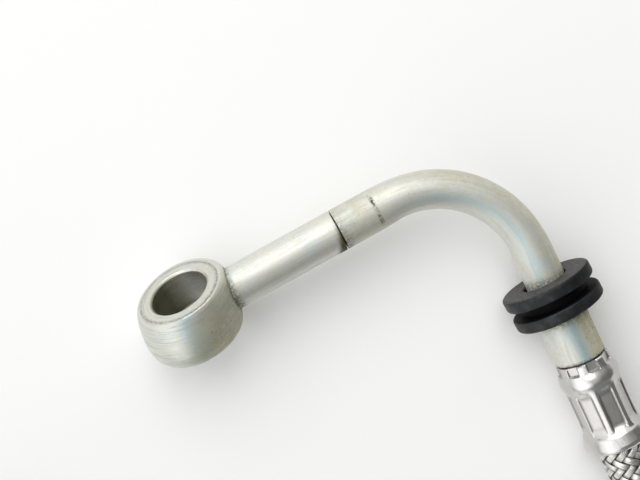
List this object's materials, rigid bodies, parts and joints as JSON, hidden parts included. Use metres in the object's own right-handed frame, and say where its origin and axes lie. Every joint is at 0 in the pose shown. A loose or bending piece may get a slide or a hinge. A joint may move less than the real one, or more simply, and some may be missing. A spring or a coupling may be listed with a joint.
{
  "type": "motorcycle oil hose",
  "caption": "Oil hose with a banjo eye on a bent steel tube, a rubber grommet, a crimped ferrule, a braided hose and a second banjo eye on a straight stem.",
  "frame": {"origin": "bottom centre of the box round the near fitting, from the banjo eye to the crimped ferrule, on the surface that the hose lies on; the free hose and the pieces on its far end are left out", "axes": "+Z up from that surface; +X to the right and +Y up in the picture, with the near eye at -X and the bend at +Y"},
  "size_m": [0.2004, 0.1921, 0.0241],
  "materials": {
    "plated_steel": "satin",
    "ferrule_steel": "satin",
    "steel_braid": "satin",
    "hose_liner": "matte",
    "black_rubber": "matte"
  },
  "bodies": {
    "root": {"banjo_eye": "plated_steel", "eye_stem": "plated_steel", "bent_tube": "plated_steel", "rubber_grommet": "black_rubber", "hose_nipple": "plated_steel", "crimp_ferrule": "ferrule_steel", "liner_end": "hose_liner", "braid_end": "steel_braid", "braided_hose": "steel_braid", "far_liner_end": "hose_liner", "far_braid_end": "steel_braid", "far_crimp_ferrule": "ferrule_steel", "far_hose_nipple": "plated_steel", "far_stem": "plated_steel", "far_banjo_eye": "plated_steel"}
  },
  "joints": []
}
